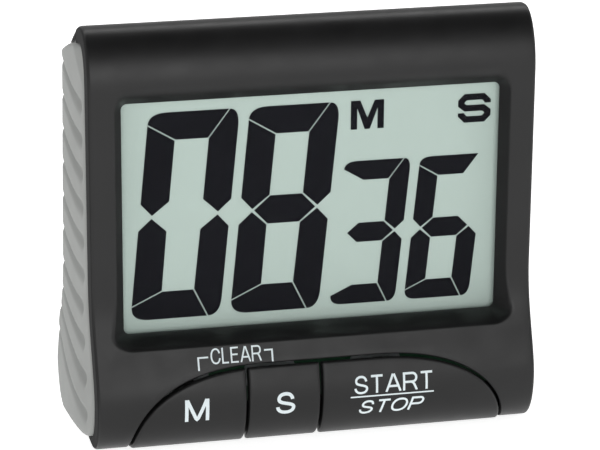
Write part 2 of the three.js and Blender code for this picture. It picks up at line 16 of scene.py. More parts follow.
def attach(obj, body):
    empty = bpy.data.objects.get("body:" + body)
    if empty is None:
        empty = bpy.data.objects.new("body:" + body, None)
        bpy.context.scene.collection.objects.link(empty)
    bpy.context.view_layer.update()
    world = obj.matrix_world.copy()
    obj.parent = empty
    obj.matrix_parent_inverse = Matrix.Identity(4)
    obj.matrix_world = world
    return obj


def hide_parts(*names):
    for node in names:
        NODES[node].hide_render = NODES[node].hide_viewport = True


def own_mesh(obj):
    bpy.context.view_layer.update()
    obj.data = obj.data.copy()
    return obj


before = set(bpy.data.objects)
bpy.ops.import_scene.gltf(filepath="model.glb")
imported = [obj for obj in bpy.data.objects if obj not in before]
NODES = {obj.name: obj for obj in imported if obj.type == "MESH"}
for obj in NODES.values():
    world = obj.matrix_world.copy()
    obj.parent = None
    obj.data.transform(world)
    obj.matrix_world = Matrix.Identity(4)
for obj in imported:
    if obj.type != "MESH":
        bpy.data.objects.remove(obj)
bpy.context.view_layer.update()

MM = 0.001
DISPLAY_Y = -7.5

# ---------------------------------------------------------------- driving dimensions
HALF_WIDTH = 36.65
EDGE = 0.6
FLAT = HALF_WIDTH - EDGE
SKIN = 1.2
PARTING = -9.95
WINDOW_HALF_WIDTH = 31.15
WINDOW_LOW = 19.4
WINDOW_HIGH = 58.5
WINDOW_RADIUS = 1.0
ARCH_CENTRE = 0.3
ARCH_HALF_WIDTH = 31.6
ARCH_TOP = 14.8
ARCH_LOW = -1.0
BUTTON_GAP = 0.42
BUTTON_PROUD = 0.3
BUTTON_THICKNESS = 1.5
BUTTON_SPLITS = (-12.0, 0.3)
DOME_BASE = -5.3
DOME_TOP = -2.9
DOME_Z = 8.6
GRIP_INNER = 35.55
GRIP_EDGE = 36.75
GRIP_REACH_TOP = 37.75
GRIP_REACH_LOW = 39.1


# ---------------------------------------------------------------- outlines seen from the side
def bezier(p0, p1, p2, p3, steps):
    t = np.linspace(0, 1, steps + 1)[1:, None]
    p0, p1, p2, p3 = (np.array(p, float) for p in (p0, p1, p2, p3))
    return (1 - t) ** 3 * p0 + 3 * t * (1 - t) ** 2 * p1 + 3 * t**2 * (1 - t) * p2 + t**3 * p3


def outline(start, *pieces, steps=40):
    """Points along straight lines (one end point) and cubic curves (two handles and an end point)."""
    points = [np.array([start], float)]
    for piece in pieces:
        last = points[-1][-1]
        if len(piece) == 1:
            t = np.linspace(0, 1, steps + 1)[1:, None]
            points.append(last + t * (np.array(piece[0], float) - last))
        else:
            points.append(bezier(last, *piece, steps))
    return np.concatenate(points)


def cut_before(points, forward):
    """Ends a path that runs backwards where it passes a forward value."""
    keep = int(np.argmax(points[:, 0] < forward))
    before, after = points[keep - 1], points[keep]
    share = (before[0] - forward) / (before[0] - after[0])
    return np.concatenate([points[:keep], [before + share * (after - before)]])


def resample(points, count):
    """The same path with evenly spaced points."""
    steps = np.hypot(*np.diff(points, axis=0).T)
    along = np.concatenate([[0], np.cumsum(steps)])
    wanted = np.linspace(0, along[-1], count)
    return np.stack([np.interp(wanted, along, points[:, i]) for i in range(points.shape[1])], 1)


# Front face from the parting line at the base, up over the buttons, the display and the crown.
FACE = [
    outline((PARTING, 0), [(-0.5, 0)]),
    outline((-0.5, 0), [(4.5, 0), (7.2, 4), (7.2, 9.1)]),
    outline((7.2, 9.1), [(7.2, 14), (2.2, 19.5), (2.2, 28)]),
    outline((2.2, 28), [(2.2, 60.5)]),
    outline((2.2, 60.5), [(2.2, 66), (-0.8, 70.2), (-4.2, 70.2)]),
    cut_before(outline((-4.2, 70.2), [(-8, 70.2), (-12.5, 67.2), (-15, 65.6)]), PARTING),
]
# The seam between that face's side walls and the grips, stretch by stretch.
SEAM = [
    outline((PARTING, 0.9), [(-4, 0.9)]),
    outline((-4, 0.9), [(1, 0.9), (3.1, 4), (3.1, 9.1)]),
    outline((3.1, 9.1), [(3.1, 14), (-1.9, 19.5), (-1.9, 28)]),
    outline((-1.9, 28), [(-1.9, 60.5)]),
    outline((-1.9, 60.5), [(-1.9, 64.5), (-3.2, 67), (-6, 67)]),
    cut_before(outline((-6, 67), [(-8.5, 66.8), (-12, 65.2), (-14.5, 63.6)]), PARTING),
]
STRETCH = 80


def joined(stretches):
    parts = [resample(p, STRETCH + 1) for p in stretches]
    return np.concatenate([parts[0]] + [p[1:] for p in parts[1:]])


class Profile:
    """The face's side outline by distance along it, with its normal and the way to the seam."""

    def __init__(self, face, seam):
        self.path = joined(face)
        steps = np.hypot(*np.diff(self.path, axis=0).T)
        self.along = np.concatenate([[0], np.cumsum(steps)])
        tangent = np.gradient(self.path, self.along, axis=0)
        kernel = np.hanning(9) / np.hanning(9).sum()
        padded = np.pad(tangent, ((4, 4), (0, 0)), mode="edge")
        tangent = np.stack([np.convolve(padded[:, i], kernel, "valid") for i in range(2)], 1)
        tangent /= np.linalg.norm(tangent, axis=1)[:, None]
        self.normal = np.stack([tangent[:, 1], -tangent[:, 0]], 1)
        self.inward = joined(seam) - self.path
        self.length = self.along[-1]

    def _read(self, values, s):
        return np.stack([np.interp(s, self.along, values[:, i]) for i in range(2)], -1)

    def at(self, s):
        return self._read(self.path, s), self._read(self.normal, s), self._read(self.inward, s)

    def from_height(self, z):
        """Distance along the front part of the path where it reaches a height."""
        top = int(np.argmax(self.path[:, 1]))
        start = STRETCH
        return np.interp(z, self.path[start:top, 1], self.along[start:top])


PROFILE = Profile(FACE, SEAM)


# ---------------------------------------------------------------- outlines in the face's own plane
def loop_lengths(loop):
    return np.hypot(*(np.roll(loop, -1, 0) - loop).T)


def even_loop(loop, spacing):
    """The same closed outline with evenly spaced points."""
    closed = np.concatenate([loop, loop[:1]])
    count = max(8, int(round(loop_lengths(loop).sum() / spacing)))
    return resample(closed, count + 1)[:-1]


def softened(loop, radius, spacing):
    """A closed outline whose corners are eased over about radius."""
    fine = even_loop(loop, 0.08)
    half = int(radius / 0.08)
    kernel = np.hanning(2 * half + 3)[1:-1]
    kernel /= kernel.sum()
    wrapped = np.concatenate([fine[-half:], fine, fine[:half]])
    smooth = np.stack([np.convolve(wrapped[:, i], kernel, "valid") for i in range(2)], 1)
    return even_loop(smooth, spacing)


def offset_loop(loop, distance):
    """A counter-clockwise outline moved outwards, or inwards when the distance is negative."""
    tangent = np.roll(loop, -1, 0) - np.roll(loop, 1, 0)
    tangent /= np.linalg.norm(tangent, axis=1)[:, None]
    return loop + distance * np.stack([tangent[:, 1], -tangent[:, 0]], 1)


def inside(points, loop):
    """Which points lie inside a closed outline."""
    x, y = points[:, :1], points[:, 1:]
    a, b = loop, np.roll(loop, -1, 0)
    spans = (a[:, 1] > y) != (b[:, 1] > y)
    rise = np.where(a[:, 1] == b[:, 1], 1e-12, b[:, 1] - a[:, 1])
    crossing = (b[:, 0] - a[:, 0]) * (y - a[:, 1]) / rise + a[:, 0]
    return (np.sum(spans & (x < crossing), axis=1) % 2) == 1


def distance_to(points, loop):
    """Distance from points to a closed outline, negative inside it."""
    a, b = loop, np.roll(loop, -1, 0)
    best = np.full(len(points), 1e9)
    for start, end in zip(a, b):
        d = end - start
        t = np.clip(((points - start) @ d) / (d @ d), 0, 1)
        gap = points - start - t[:, None] * d
        best = np.minimum(best, np.einsum("ij,ij->i", gap, gap))
    return np.where(inside(points, loop), -1, 1) * np.sqrt(best)


def rounded_rectangle(x0, x1, z0, z1, radius, corner_steps=8, spacing=1.2):
    """Counter-clockwise outline of a rectangle with rounded corners."""
    points = []
    corners = [(x1 - radius, z0 + radius, -90), (x1 - radius, z1 - radius, 0)]
    corners += [(x0 + radius, z1 - radius, 90), (x0 + radius, z0 + radius, 180)]
    for index, (cx, cz, begin) in enumerate(corners):
        for step in range(corner_steps + 1):
            angle = math.radians(begin + 90 * step / corner_steps)
            points.append((cx + radius * math.cos(angle), cz + radius * math.sin(angle)))
        nx, nz, following = corners[(index + 1) % 4]
        angle = math.radians(following)
        goal = (nx + radius * math.cos(angle), nz + radius * math.sin(angle))
        count = int(math.dist(points[-1], goal) / spacing)
        last = points[-1]
        for k in range(1, count):
            share = k / count
            points.append((last[0] + share * (goal[0] - last[0]), last[1] + share * (goal[1] - last[1])))
    return np.array(points)


def arch(inset):
    """The button opening seen from the front, in x and z, counter-clockwise."""
    half = ARCH_HALF_WIDTH - inset
    top = ARCH_TOP - inset
    c = ARCH_CENTRE
    right = [(c + half, 7), (c + 0.86 * half, top), (c + 0.3 * half, top)]
    left = [(c - 0.86 * half, top), (c - half, 7), (c - half, ARCH_LOW)]
    return outline((c - half, ARCH_LOW), [(c + half, ARCH_LOW)], right, [(c - 0.3 * half, top)], left)[:-1]


# ---------------------------------------------------------------- meshes
def triangulate(points, loops, keep):
    """Delaunay triangles over points and closed loops, without those whose centre isn't kept."""
    coords = [Vector(p) for p in points]
    edges = []
    for loop in loops:
        first = len(coords)
        coords += [Vector(p) for p in loop]
        count = len(loop)
        edges += [(first + i, first + (i + 1) % count) for i in range(count)]
    verts, _, faces, _, _, _ = delaunay_2d_cdt(coords, edges, [], 0, 1e-6)
    flat = np.array([tuple(v) for v in verts])
    triangles = np.array([f for f in faces if len(f) == 3])
    a, b, c = (flat[triangles[:, i]] for i in range(3))
    turn = (b[:, 0] - a[:, 0]) * (c[:, 1] - a[:, 1]) - (b[:, 1] - a[:, 1]) * (c[:, 0] - a[:, 0])
    triangles[turn < 0] = triangles[turn < 0][:, ::-1]
    good = keep((a + b + c) / 3) & (np.abs(turn) > 1e-7)
    return flat, triangles[good]


def new_mesh(name, points, faces, sharp=35.0):
    """A smooth-shaded object from points in metres, with outward normals and sharp edges by angle."""
    mesh = bpy.data.meshes.new(name)
    mesh.from_pydata([tuple(p) for p in points], [], [tuple(int(i) for i in f) for f in faces])
    work = bmesh.new()
    work.from_mesh(mesh)
    bmesh.ops.delete(work, geom=[v for v in work.verts if not v.link_faces], context="VERTS")
    bmesh.ops.recalc_face_normals(work, faces=work.faces)
    work.to_mesh(mesh)
    work.free()
    mesh.shade_smooth()
    mesh.set_sharp_from_angle(angle=math.radians(sharp))
    obj = bpy.data.objects.new(name, mesh)
    bpy.context.scene.collection.objects.link(obj)
    return obj


def closed_sheet(outer, inner, triangles):
    """Points and faces of the solid between two copies of one triangulated sheet."""
    count = len(outer)
    directed = {}
    for tri in triangles:
        for i in range(3):
            directed[(tri[i], tri[(i + 1) % 3])] = True
    faces = [tuple(t) for t in triangles]
    faces += [tuple(int(i) + count for i in t[::-1]) for t in triangles]
    for a, b in directed:
        if (b, a) not in directed:
            faces.append((b, a, a + count, b + count))
    return np.concatenate([outer, inner]), faces


def merged(parts):
    """Several (points, faces) pairs as one."""
    points, faces, first = [], [], 0
    for part_points, part_faces in parts:
        points.append(np.asarray(part_points, float))
        faces += [tuple(int(i) + first for i in f) for f in part_faces]
        first += len(part_points)
    return np.concatenate(points), faces


def to_metres(x, forward, z):
    x, forward, z = np.broadcast_arrays(x, forward, z)
    return np.stack([x, DISPLAY_Y - forward, z], -1) * MM


def quarter_round(distance, radius):
    """How far a rounded rim has dropped at a distance inside its edge."""
    t = np.clip(1 - distance / radius, 0, 1)
    return radius * (1 - np.sqrt(np.maximum(1 - t * t, 0)))


def smooth_min(a, b, softness):
    h = np.maximum(softness - np.abs(a - b), 0) / softness
    return np.minimum(a, b) - h * h * softness / 4


# ---------------------------------------------------------------- front shell
FILLET_STEPS = 8
FILLET_U = EDGE * math.pi / 2
WALL_U = 4.0
SIDE_U = FLAT + FILLET_U + WALL_U


def face_point(u, s, lift):
    """A point of the face: u across, s along the profile, lift outwards along its normal.
    Past the flat part, u runs round the edge and down the side wall to the seam."""
    base, normal, inward = PROFILE.at(s)
    reach = np.linalg.norm(inward, axis=1)
    toward = inward / reach[:, None]
    across = np.abs(u)
    angle = np.clip((across - FLAT) / FILLET_U, 0, 1) * math.pi / 2
    wall = np.clip((across - FLAT - FILLET_U) / WALL_U, 0, 1)
    round_depth = np.minimum(EDGE, 0.75 * reach)
    depth = round_depth * (1 - np.cos(angle)) + wall * (reach - round_depth)
    x = np.minimum(across, FLAT) + EDGE * np.sin(angle) + lift * np.sin(angle)
    flat = base + toward * depth[:, None] + normal * (lift * np.cos(angle))[:, None]
    return np.sign(u) * x, flat[:, 0], flat[:, 1]


WINDOW = rounded_rectangle(
    -WINDOW_HALF_WIDTH, WINDOW_HALF_WIDTH, WINDOW_LOW, WINDOW_HIGH, WINDOW_RADIUS
)
WALL_OFFSETS = [0, 0.12, 0.3, 0.55, 0.8, 1.0, 1.15, 1.27, 1.35, 1.42, 1.5, 1.6, 1.75, 1.95]
WALL_OFFSETS += [2.2, 2.5, 2.8, 3.1, 3.4]


def window_distance(x, z):
    """Distance outside the window's outline in the display's plane, and that distance's direction."""
    cx = np.abs(x) - (WINDOW_HALF_WIDTH - WINDOW_RADIUS)
    middle = (WINDOW_LOW + WINDOW_HIGH) / 2
    half = (WINDOW_HIGH - WINDOW_LOW) / 2
    cz = np.abs(z - middle) - (half - WINDOW_RADIUS)
    out = np.hypot(np.maximum(cx, 0), np.maximum(cz, 0))
    away = np.stack([np.maximum(cx, 0), np.sign(z - middle) * np.maximum(cz, 0)], -1)
    away /= np.maximum(out, 1e-6)[:, None]
    return out + np.minimum(np.maximum(cx, cz), 0) - WINDOW_RADIUS, away


# How steeply the pocket's walls rise, and how softly they roll over into the face.
POCKET_SLOPES = {"side": 1.57, "top": 0.95, "low": 4.5}
POCKET_ROLLS = {"side": 0.3, "top": 1.3, "low": 2.6}
POCKET_REACH = 5


def pocket(x, forward, z):
    """The forward value once the display's pocket is cut: steep sides, a soft top, a deep bottom."""
    distance, away = window_distance(x, z)
    side = away[:, 0] ** 2
    top = np.where(away[:, 1] > 0, 1 - side, 0)
    low = np.where(away[:, 1] < 0, 1 - side, 0)
    shares = {"side": side, "top": top, "low": low}
    slope = sum(POCKET_SLOPES[name] * share for name, share in shares.items())
    softness = sum(POCKET_ROLLS[name] * share for name, share in shares.items())
    wall = slope * np.maximum(distance, 0)
    return np.where(distance > POCKET_REACH, forward, smooth_min(forward, np.minimum(wall, 20), softness))


def in_face(loop):
    """An outline in x and z as one in x and distance along the profile."""
    return np.stack([loop[:, 0], PROFILE.from_height(loop[:, 1])], 1)


OPENING_LOW = PROFILE.along[STRETCH] + 0.1


def opening_loop(inset, low, radius, spacing):
    """The button opening, closed below at a distance along the profile."""
    shape = arch(inset)
    flat = in_face(shape[shape[:, 1] > 0.02])
    ends = np.array([[flat[-1][0], low], [flat[0][0], low]])
    loop = np.concatenate([flat, ends])
    return softened(loop, radius, spacing)


def grid_rows():
    """Distances along the profile for the face's grid, closer together where it curves."""
    turn = np.abs(np.gradient(np.unwrap(np.arctan2(*PROFILE.normal.T)), PROFILE.along))
    density = 1 / 1.6 + 6.0 * np.clip(turn, 0, 0.4)
    total = np.concatenate([[0], np.cumsum((density[1:] + density[:-1]) / 2 * np.diff(PROFILE.along))])
    rows = np.interp(np.linspace(0, total[-1], int(total[-1])), total, PROFILE.along)
    rim = [0.04, 0.1, 0.18]
    rows = rows[(rows > 0.4) & (rows < PROFILE.length - 0.4)]
    ends = [0, *rim, PROFILE.length, *(PROFILE.length - r for r in rim)]
    return np.sort(np.concatenate([rows, ends]))


def grid_columns():
    flat = np.linspace(-FLAT, FLAT, 59)
    angles = np.arange(1, FILLET_STEPS + 1) / FILLET_STEPS * FILLET_U + FLAT
    wall = FLAT + FILLET_U + WALL_U * np.array([0.25, 0.5, 0.75, 0.93, 0.97, 1.0])
    side = np.concatenate([angles, wall])
    return np.concatenate([-side[::-1], flat, side])


RIM_OFFSETS = [0, 0.03, 0.09, 0.18, 0.3]


def front_shell():
    opening = opening_loop(0, OPENING_LOW, 0.5, 0.5)
    rings = [in_face(offset_loop(WINDOW, d)) for d in WALL_OFFSETS]
    rims = [offset_loop(opening, d) for d in RIM_OFFSETS]
    columns, rows = grid_columns(), grid_rows()
    grid = np.stack(np.meshgrid(columns, rows), -1).reshape(-1, 2)
    clear = (distance_to(grid, rings[-1]) > 0.35) & (distance_to(grid, rims[-1]) > 0.3)

    def keep(centres):
        return ~inside(centres, rings[0]) & ~inside(centres, opening)

    flat, triangles = triangulate(grid[clear], rings + rims, keep)
    u, s = flat.T
    rim = np.minimum(quarter_round(np.maximum(distance_to(flat, opening), 0), 0.3), 0.3)
    edge = quarter_round(np.minimum(s, PROFILE.length - s), 0.18)
    seam = quarter_round((SIDE_U - np.abs(u)) * 0.8, 0.22)
    x, forward, z = face_point(u, s, -np.maximum(rim, edge))
    x = x - np.sign(x) * seam
    near = (np.abs(u) <= FLAT + 0.01) & (z > 9)
    cut = pocket(x, forward, z)
    forward_out = np.where(near, cut, forward)
    outer = to_metres(x, forward_out, z)

    xi, fi, zi = face_point(u, s, np.full(len(u), -SKIN))
    beside, _ = window_distance(x, z)
    by_window = near & (beside < 2.2)
    fi = np.where(by_window, np.maximum(forward_out - 1.6, np.minimum(forward_out - 0.02, -0.03)), fi)
    fi = np.where(near & ~by_window, np.minimum(fi, forward_out - 0.4), fi)
    xi = np.where(by_window, x, np.sign(x) * np.minimum(np.abs(xi), np.abs(x)))
    zi = np.where(by_window, z, zi)
    inner = to_metres(xi, fi, zi)
    return new_mesh("front_skin", *closed_sheet(outer, inner, triangles))


# ---------------------------------------------------------------- buttons
def clipped(loop, low, high):
    """The part of an outline between two x values, as an outline."""
    work = [tuple(p) for p in loop]
    for limit, sign in ((low, 1), (high, -1)):
        result = []
        for a, b in zip(work, work[1:] + work[:1]):
            da, db = sign * (a[0] - limit), sign * (b[0] - limit)
            if da >= 0:
                result.append(a)
            if da * db < 0:
                t = da / (da - db)
                result.append((a[0] + t * (b[0] - a[0]), a[1] + t * (b[1] - a[1])))
        work = result
    return np.array(work)


BUTTON_RIM = [0, 0.03, 0.1, 0.2, 0.34, 0.5]
STEM_FORWARD = (-2.55, 5.2)


def stem_parts(x):
    """A button's plunger: a cross of two ribs."""
    parts = []
    for wide, high in ((1.2, 4.6), (4.6, 1.2)):
        left, low = x - wide / 2, DOME_Z - high / 2
        parts.append(box_part(left, x + wide / 2, *STEM_FORWARD, low, DOME_Z + high / 2))
    return parts


def box_part(x0, x1, forward0, forward1, z0, z1):
    corners = [(x, f, z) for x in (x0, x1) for f in (forward0, forward1) for z in (z0, z1)]
    points = to_metres(*np.array(corners).T)
    faces = [(0, 1, 3, 2), (4, 6, 7, 5), (0, 4, 5, 1), (2, 3, 7, 6), (0, 2, 6, 4), (1, 5, 7, 3)]
    return points, faces


def button(name, low, high, stem_x):
    base = PROFILE.from_height(0.75)
    shape = opening_loop(BUTTON_GAP, base, 0.3, 0.3)
    cut = clipped(shape, low, high)
    loop = softened(cut, 0.42, 0.4)
    rims = [offset_loop(loop, -d) for d in BUTTON_RIM]
    x0, x1 = loop[:, 0].min(), loop[:, 0].max()
    columns = np.linspace(x0, x1, int((x1 - x0) / 0.9))
    rows = np.linspace(base, loop[:, 1].max(), 26)
    grid = np.stack(np.meshgrid(columns, rows), -1).reshape(-1, 2)
    clear = distance_to(grid, rims[-1]) < -0.25
    flat, triangles = triangulate(grid[clear], rims, lambda centres: inside(centres, loop))
    depth = quarter_round(np.maximum(-distance_to(flat, loop), 0), BUTTON_RIM[-1])
    u, s = flat.T
    outer = to_metres(*face_point(u, s, BUTTON_PROUD - depth * 0.8))
    inner = to_metres(*face_point(u, s, np.full(len(u), -BUTTON_THICKNESS)))
    parts = [closed_sheet(outer, inner, triangles), *stem_parts(stem_x)]
    return new_mesh(name, *merged(parts))


BUTTONS = (
    ("button_cap_m", "button_m", "press_m", "dome_m", -40, BUTTON_SPLITS[0] - 0.22, -20.6),
    (
        "button_cap_s",
        "button_s",
        "press_s",
        "dome_s",
        BUTTON_SPLITS[0] + 0.22,
        BUTTON_SPLITS[1] - 0.22,
        -5.8,
    ),
    (
        "button_cap_start_stop",
        "button_start_stop",
        "press_start_stop",
        "dome_start_stop",
        BUTTON_SPLITS[1] + 0.22,
        40,
        12.3,
    ),
)

# ---------------------------------------------------------------- grips
BACK = outline(
    (-15, 67),
    [(-19, 67)],
    [(-19, 26)],
    [(-19, 20), (-22.5, 17), (-22.5, 12)],
    [(-22.5, 5), (-20.5, 0.2), (-15, 0.2)],
)
SCALLOPS = 10
SCALLOP_TOP = 57.7
SCALLOP_PITCH = 5.75


GRIP_LOW = 0.3
CROWN_END = (-14.5, 64.8)
CROWN_SLOPE = 4.8 / 11.5


def grip_loop():
    """A grip from the side: behind the seam, below the crown, and cut off by the back."""
    seam = joined(SEAM[1:5])
    roof = CROWN_END[1] + (BACK[:, 0] - CROWN_END[0]) * CROWN_SLOPE
    on_back = BACK[(BACK[:, 1] < roof) & (BACK[:, 1] > GRIP_LOW)]
    crown = outline((-6, 67), [(-8.5, 66.8), (-12, 65.8), CROWN_END])[1:]
    base = np.array([[on_back[-1][0], GRIP_LOW]])
    return softened(np.concatenate([base, seam, crown, on_back]), 0.5, 0.5)


def grip_front(z):
    seam = joined(SEAM[1:5])
    return np.interp(z, seam[:, 1], seam[:, 0])


def grip_back(z):
    return np.interp(z, BACK[::-1, 1], BACK[::-1, 0])


def scallops(forward, z, front):
    """Depth of the finger grooves: a crisp upper lip, a long slope below it and a round front end."""
    depth = np.zeros_like(z)
    for k in range(SCALLOPS):
        end_z = SCALLOP_TOP - SCALLOP_PITCH * k
        setback = np.interp(end_z, [6, 12, 20, 28], [3.4, 4.8, 4.4, 2.6])
        end = grip_front(end_z) - setback
        back = np.maximum(end - forward, 0)
        centre = end_z + 2.1 * (back / 10.2) ** 1.7
        across = z - centre
        beyond = np.maximum(forward - end, 0)
        width = np.where(across > 0, 0.6, 1.35) * np.interp(back, [0, 3, 14], [1.0, 0.9, 0.6])
        reach = np.hypot(across / width, beyond / 0.75)
        fade = np.interp(back, [0, 4, 15], [0.8, 0.7, 0.35])
        depth = np.maximum(depth, fade * np.exp(-(reach**2.4)))
        scale = np.clip(across / SCALLOP_PITCH, 0, 1)
        lip = 0.12 * (1 - scale) * (across > 0) * (scale < 1) * np.clip(back / 4, 0, 1)
        depth = depth - lip * np.clip(across / 0.8, 0, 1)
    return depth


def grip_face(forward, z):
    """How far out a grip's surface lies: domed from the seam to the back, with grooves."""
    front, back = grip_front(z), grip_back(z)
    share = np.clip((front - forward) / (front - back), 0, 1)
    reach = np.interp(z, [7.5, 12, 19, 60], [GRIP_REACH_LOW, 38.7, 38.4, GRIP_REACH_TOP])
    bow = np.sin(share * 0.45 * math.pi) / math.sin(0.45 * math.pi)
    bow = bow ** np.interp(z, [2, 14], [0.4, 1.0])
    x = GRIP_EDGE + (reach - GRIP_EDGE) * bow
    facet = (forward + 3) * 0.62 + (z - 60.9) * 0.78
    x = x - 0.3 * smooth_ramp(facet, 0.5)
    return x - scallops(forward, z, front)


def smooth_ramp(value, softness):
    """Zero below zero, the value itself above, eased over a softness."""
    return np.where(value > softness, value - softness / 2, np.maximum(value, 0) ** 2 / (2 * softness))


GRIP_RIM = [0, 0.04, 0.13, 0.28, 0.48, 0.75]


def grip(name, side):
    loop = offset_loop(grip_loop(), -0.12)
    rims = [offset_loop(loop, -d) for d in GRIP_RIM]
    low, high = loop.min(0), loop.max(0)
    columns = np.arange(low[0], high[0], 0.42)
    rows = np.arange(low[1], high[1], 0.36)
    grid = np.stack(np.meshgrid(columns, rows), -1).reshape(-1, 2)
    grid = grid[distance_to(grid, rims[-1]) < -0.2]
    flat, triangles = triangulate(grid, rims, lambda centres: inside(centres, loop))
    drop = quarter_round(np.maximum(-distance_to(flat, loop), 0), GRIP_RIM[-1])
    forward, z = flat.T
    x = grip_face(forward, z) - drop * np.interp(z, [4, 12], [0.5, 0.9])
    outer = to_metres(side * x, forward, z)
    inner = to_metres(np.full(len(x), side * GRIP_INNER), forward, z)
    return new_mesh(name, *closed_sheet(outer, inner, triangles))


# ---------------------------------------------------------------- finger ribs on the back
RIB_HALF = 0.4
RIB_PROUD = 0.3
RIB_RIM = [0, 0.05, 0.14, 0.26, 0.36]


def finger_ribs(name, half_length, heights, proud):
    """A row of level half-round bars that stand out of the back at the given heights."""
    bars = []
    for height in heights:
        loop = rounded_rectangle(
            -half_length, half_length, height - RIB_HALF, height + RIB_HALF, RIB_HALF * 0.98
        )
        rims = [offset_loop(loop, -d) for d in RIB_RIM]
        flat, triangles = triangulate([], rims, lambda centres, edge=loop: inside(centres, edge))
        rise = proud - quarter_round(np.maximum(-distance_to(flat, loop), 0), RIB_HALF) * proud / RIB_HALF
        x, z = flat.T
        surface = grip_back(z)
        outer = to_metres(x, surface - rise, z)
        inner = to_metres(x, surface + 0.25, z)
        bars.append(closed_sheet(outer, inner, triangles))
    return new_mesh(name, *merged(bars))


# ---------------------------------------------------------------- print on the case and buttons
def print_height(name, drawing, lift):
    """Thin print from a flat drawing in x and z, wrapped onto the face: a mesh in face coordinates."""
    points, faces = drawing
    x, z, raised = points.T
    s = PROFILE.from_height(z)
    placed = to_metres(*face_point(x, s, lift + raised))
    return new_mesh(name, placed, faces, sharp=30)


def flat_face(loop):
    """An outline in x and z as one face of a working mesh."""
    work = bmesh.new()
    work.faces.new([work.verts.new((p[0], p[1], 0)) for p in loop])
    return work


def as_triangles(work):
    """The points and triangles of a working mesh, which is freed."""
    bmesh.ops.triangulate(work, faces=work.faces[:])
    work.verts.index_update()
    flat = np.array([tuple(v.co) for v in work.verts])
    triangles = np.array([[v.index for v in f.verts] for f in work.faces])
    work.free()
    return flat, triangles


def slab(loop, thickness=0.04):
    """A flat outline in x and z as a thin closed solid, cut into level strips so that it can bend."""
    return finish_slab(flat_face(loop), thickness)


def finish_slab(work, thickness):
    low = min(v.co.y for v in work.verts)
    high = max(v.co.y for v in work.verts)
    level = math.floor(low / 0.4) * 0.4
    while level < high:
        geometry = work.verts[:] + work.edges[:] + work.faces[:]
        bmesh.ops.bisect_plane(work, geom=geometry, plane_co=(0, level, 0), plane_no=(0, 1, 0))
        level += 0.4
    flat, triangles = as_triangles(work)
    upper, lower = flat.copy(), flat.copy()
    upper[:, 2] = thickness / 2
    lower[:, 2] = -thickness / 2
    return closed_sheet(upper, lower, triangles)


def polyline(start, *pieces):
    """Points along a stroke's middle line, in a letter's own unit box."""
    return outline(start, *pieces, steps=10)


S_LINE = (
    (0.93, 0.71),
    [(0.91, 0.9), (0.75, 1.0), (0.5, 1.0)],
    [(0.24, 1.0), (0.07, 0.89), (0.07, 0.74)],
    [(0.07, 0.57), (0.3, 0.54), (0.5, 0.5)],
    [(0.74, 0.45), (1.0, 0.43), (1.0, 0.265)],
    [(1.0, 0.1), (0.79, 0.0), (0.51, 0.0)],
    [(0.22, 0.0), (0.01, 0.12), (0.0, 0.31)],
)
C_LINE = (
    (0.97, 0.69),
    [(0.91, 0.88), (0.76, 1.0), (0.53, 1.0)],
    [(0.2, 1.0), (0.0, 0.8), (0.0, 0.5)],
    [(0.0, 0.2), (0.2, 0.0), (0.53, 0.0)],
    [(0.78, 0.0), (0.94, 0.13), (1.0, 0.34)],
)
O_LINE = (
    (0.5, 1.0),
    [(0.18, 1.0), (0.0, 0.79), (0.0, 0.5)],
    [(0.0, 0.21), (0.18, 0.0), (0.5, 0.0)],
    [(0.82, 0.0), (1.0, 0.21), (1.0, 0.5)],
    [(1.0, 0.79), (0.82, 1.0), (0.5, 1.0)],
    [(0.47, 1.0), (0.45, 0.997), (0.42, 0.99)],
)
BOWL = (
    [(0.62, 1.0)],
    [(0.86, 1.0), (0.97, 0.88), (0.97, 0.74)],
    [(0.97, 0.59), (0.86, 0.48), (0.62, 0.48)],
)
R_LEG = ((0.56, 0.48), [(0.78, 0.44), (0.82, 0.3), (1.02, -0.06)])
A_SIDES = [((-0.05, -0.06), [(0.47, 1.05)]), ((1.05, -0.06), [(0.53, 1.05)])]
M_SIDES = [((0, -0.06), [(0, 1.06)]), ((1, -0.06), [(1, 1.06)])]
# Each letter: its width for a height of 1, and the middle lines of its strokes.
LETTERS = {
    "S": (0.8, [S_LINE]),
    "C": (0.88, [C_LINE]),
    "O": (0.95, [O_LINE]),
    "L": (0.66, [((0, 1.06), [(0, 0)], [(1, 0)])]),
    "E": (0.76, [((1, 1), [(0, 1)], [(0, 0)], [(1, 0)]), ((0, 0.53), [(0.9, 0.53)])]),
    "T": (0.8, [((0, 1), [(1, 1)]), ((0.5, 1), [(0.5, -0.06)])]),
    "R": (0.86, [((0, -0.06), [(0, 1)], *BOWL, [(0, 0.48)]), R_LEG]),
    "P": (0.8, [((0, -0.06), [(0, 1)], *BOWL, [(0, 0.48)])]),
    "A": (0.88, [*A_SIDES, ((0.16, 0.3), [(0.84, 0.3)])]),
    "M": (0.96, [*M_SIDES, ((0.03, 1.04), [(0.5, -0.04)], [(0.97, 1.04)])]),
}


def stroke_path(points, width):
    """A flat outline round a line of strokes with mitred corners."""
    points = np.array(points, float)
    points = points[np.concatenate([[True], np.linalg.norm(np.diff(points, axis=0), axis=1) > 1e-6])]
    direction = np.diff(points, axis=0)
    direction /= np.linalg.norm(direction, axis=1)[:, None]
    normal = np.stack([-direction[:, 1], direction[:, 0]], 1)
    joint = np.concatenate([normal[:1], normal[:-1] + normal[1:], normal[-1:]])
    joint = joint / np.einsum("ij,ij->i", joint, np.concatenate([normal, normal[-1:]]))[:, None]
    length = np.linalg.norm(joint, axis=1)[:, None]
    side = joint / length * np.minimum(length, 1.6) * width / 2
    return np.concatenate([points + side, (points - side)[::-1]])


